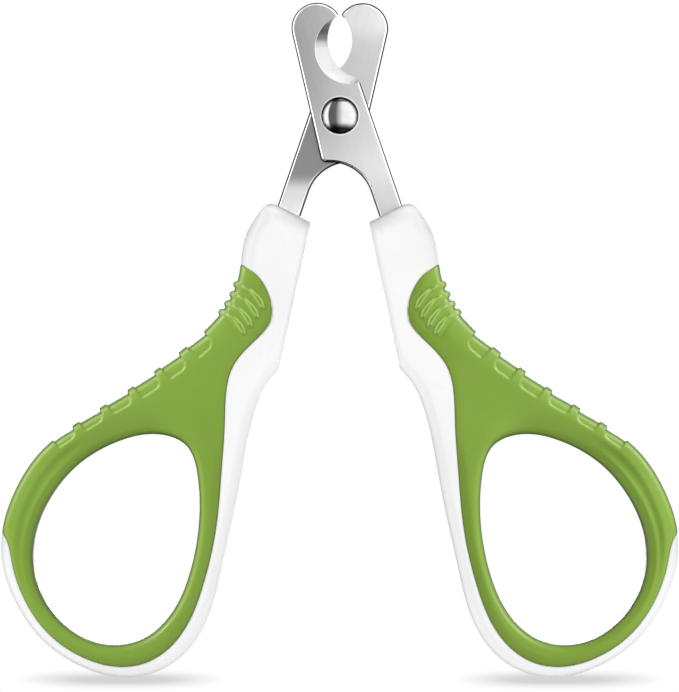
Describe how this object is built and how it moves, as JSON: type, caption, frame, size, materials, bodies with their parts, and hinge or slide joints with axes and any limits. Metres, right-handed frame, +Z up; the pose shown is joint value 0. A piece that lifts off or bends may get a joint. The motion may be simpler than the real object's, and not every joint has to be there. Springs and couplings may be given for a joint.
{
  "type": "scissor nail clipper",
  "caption": "Scissor-style claw clipper: two notched steel blades crossing at a domed rivet, with looped handles in rigid plastic and soft overmoulded grips.",
  "frame": {"origin": "on the ground under the two finger loops, midway between them and straight below the pivot axis (bottom centre of the bounding box)", "axes": "+X to the right with the tool seen from its front (rivet dome) side, +Y away from the viewer along the pivot axis, +Z up towards the blade tips; the tool stands half open on its finger loops"},
  "size_m": [0.122, 0.0082, 0.1215],
  "materials": {
    "blade_steel": "fine vertical brushing, bright broken edges",
    "rivet_chrome": "polished dome",
    "washer_steel": "plain spring steel",
    "white_plastic": "satin moulded polypropylene",
    "green_grip": "satin soft-touch elastomer"
  },
  "bodies": {
    "rear_lever": {"rear_blade": "blade_steel", "left_handle_core": "white_plastic", "left_grip": "green_grip", "pivot_rivet": "rivet_chrome", "tension_washer": "washer_steel", "rivet_rear_cap": "rivet_chrome"},
    "front_lever": {"front_blade": "blade_steel", "right_handle_core": "white_plastic", "right_grip": "green_grip"}
  },
  "joints": [
    {"name": "blade_pivot", "type": "hinge", "parent": "rear_lever", "child": "front_lever", "pos_m": [0, 0, 0.10121], "axis": [0, -1, 0], "range_deg": [-26.5, 108]}
  ]
}
